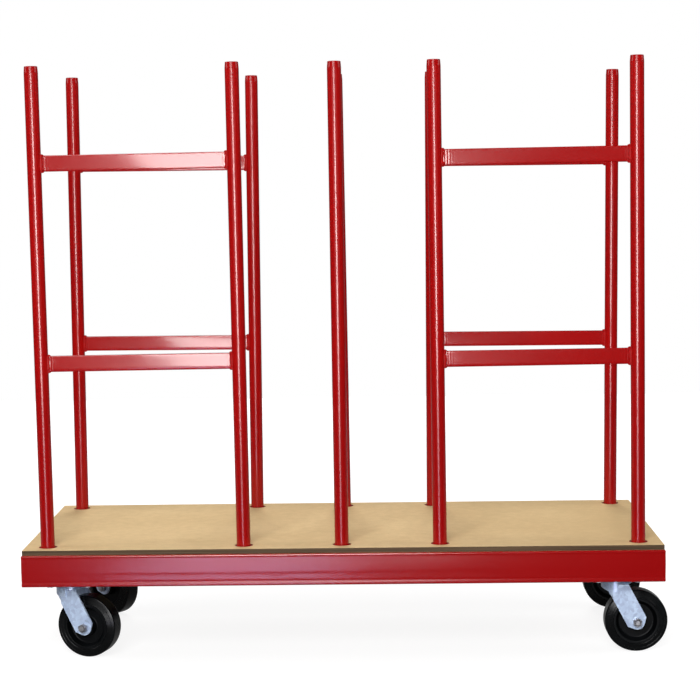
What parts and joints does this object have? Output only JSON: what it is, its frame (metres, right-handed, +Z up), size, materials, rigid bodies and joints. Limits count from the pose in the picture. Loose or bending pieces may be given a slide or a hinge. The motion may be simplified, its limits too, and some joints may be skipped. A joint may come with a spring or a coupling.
{
  "type": "side panel cart",
  "caption": "Red steel platform cart on swivel casters, with a wood-fibre deck and two rows of lift-out pipe posts and ladder frames that hold panels on edge.",
  "frame": {"origin": "on the floor under the middle of the deck", "axes": "+X along the deck to the right, +Y from the front row of posts to the rear row, +Z up"},
  "size_m": [1.544, 0.6146, 1.4175],
  "materials": {
    "red_paint": "glossy red enamel, slightly uneven",
    "deck_board": "smooth tan wood-fibre board with a darker sawn edge",
    "zinc_steel": "pale zinc plate, softly glossy",
    "bolt_steel": "plain grey steel",
    "wheel_core": "black painted casting, semi-gloss",
    "tyre": "black rubber with a soft sheen"
  },
  "bodies": {
    "base": {"front_channel": "red_paint", "rear_channel": "red_paint", "left_end_channel": "red_paint", "right_end_channel": "red_paint", "cross_members": "red_paint", "left_caster_pad": "red_paint", "right_caster_pad": "red_paint", "post_sockets": "red_paint", "socket_floors": "red_paint", "deck_board": "deck_board", "deck_screws": "bolt_steel", "caster_bolts": "bolt_steel", "caster_nuts": "bolt_steel", "kingpins": "zinc_steel", "swivel_balls": "bolt_steel", "front_left_caster_plate": "zinc_steel", "front_right_caster_plate": "zinc_steel", "rear_left_caster_plate": "zinc_steel", "rear_right_caster_plate": "zinc_steel"},
    "front_left_swivel": {"front_left_fork": "zinc_steel", "front_left_axle": "bolt_steel"},
    "front_left_wheel": {"front_left_wheel_bearing": "bolt_steel", "front_left_wheel_core": "wheel_core", "front_left_tyre": "tyre"},
    "front_right_swivel": {"front_right_fork": "zinc_steel", "front_right_axle": "bolt_steel"},
    "front_right_wheel": {"front_right_wheel_bearing": "bolt_steel", "front_right_wheel_core": "wheel_core", "front_right_tyre": "tyre"},
    "rear_left_swivel": {"rear_left_fork": "zinc_steel", "rear_left_axle": "bolt_steel"},
    "rear_left_wheel": {"rear_left_wheel_bearing": "bolt_steel", "rear_left_wheel_core": "wheel_core", "rear_left_tyre": "tyre"},
    "rear_right_swivel": {"rear_right_fork": "zinc_steel", "rear_right_axle": "bolt_steel"},
    "rear_right_wheel": {"rear_right_wheel_bearing": "bolt_steel", "rear_right_wheel_core": "wheel_core", "rear_right_tyre": "tyre"},
    "front_left_ladder": {"front_left_ladder_outer_post": "red_paint", "front_left_ladder_inner_post": "red_paint", "front_left_ladder_rails": "red_paint", "front_left_ladder_caps": "red_paint"},
    "front_right_ladder": {"front_right_ladder_outer_post": "red_paint", "front_right_ladder_inner_post": "red_paint", "front_right_ladder_rails": "red_paint", "front_right_ladder_caps": "red_paint"},
    "front_centre": {"front_centre_post": "red_paint", "front_centre_cap": "red_paint"},
    "rear_left_ladder": {"rear_left_ladder_outer_post": "red_paint", "rear_left_ladder_inner_post": "red_paint", "rear_left_ladder_rails": "red_paint", "rear_left_ladder_caps": "red_paint"},
    "rear_right_ladder": {"rear_right_ladder_outer_post": "red_paint", "rear_right_ladder_inner_post": "red_paint", "rear_right_ladder_rails": "red_paint", "rear_right_ladder_caps": "red_paint"},
    "rear_centre": {"rear_centre_post": "red_paint", "rear_centre_cap": "red_paint"}
  },
  "joints": [
    {"name": "front_left_swivel_turn", "type": "hinge", "parent": "base", "child": "front_left_swivel", "pos_m": [-0.659, -0.2248, 0.183], "axis": [0, 0, 1], "continuous": true},
    {"name": "front_left_wheel_spin", "type": "hinge", "parent": "front_left_swivel", "child": "front_left_wheel", "pos_m": [-0.61526, -0.23734, 0.075], "axis": [0.2756, 0.9613, 0], "continuous": true},
    {"name": "front_right_swivel_turn", "type": "hinge", "parent": "base", "child": "front_right_swivel", "pos_m": [0.659, -0.2248, 0.183], "axis": [0, 0, 1], "continuous": true},
    {"name": "front_right_wheel_spin", "type": "hinge", "parent": "front_right_swivel", "child": "front_right_wheel", "pos_m": [0.7045, -0.2248, 0.075], "axis": [0, 1, 0], "continuous": true},
    {"name": "rear_left_swivel_turn", "type": "hinge", "parent": "base", "child": "rear_left_swivel", "pos_m": [-0.659, 0.2248, 0.183], "axis": [0, 0, 1], "continuous": true},
    {"name": "rear_left_wheel_spin", "type": "hinge", "parent": "rear_left_swivel", "child": "rear_left_wheel", "pos_m": [-0.62173, 0.1987, 0.075], "axis": [0.5736, 0.8192, 0], "continuous": true},
    {"name": "rear_right_swivel_turn", "type": "hinge", "parent": "base", "child": "rear_right_swivel", "pos_m": [0.659, 0.2248, 0.183], "axis": [0, 0, 1], "continuous": true},
    {"name": "rear_right_wheel_spin", "type": "hinge", "parent": "rear_right_swivel", "child": "rear_right_wheel", "pos_m": [0.7045, 0.2248, 0.075], "axis": [0, 1, 0], "continuous": true},
    {"name": "front_left_ladder_lift", "type": "slide", "parent": "base", "child": "front_left_ladder", "axis": [0, 0, 1], "range_m": [0, 0.07]},
    {"name": "front_right_ladder_lift", "type": "slide", "parent": "base", "child": "front_right_ladder", "axis": [0, 0, 1], "range_m": [0, 0.07]},
    {"name": "front_centre_lift", "type": "slide", "parent": "base", "child": "front_centre", "axis": [0, 0, 1], "range_m": [0, 0.07]},
    {"name": "rear_left_ladder_lift", "type": "slide", "parent": "base", "child": "rear_left_ladder", "axis": [0, 0, 1], "range_m": [0, 0.07]},
    {"name": "rear_right_ladder_lift", "type": "slide", "parent": "base", "child": "rear_right_ladder", "axis": [0, 0, 1], "range_m": [0, 0.07]},
    {"name": "rear_centre_lift", "type": "slide", "parent": "base", "child": "rear_centre", "axis": [0, 0, 1], "range_m": [0, 0.07]}
  ]
}
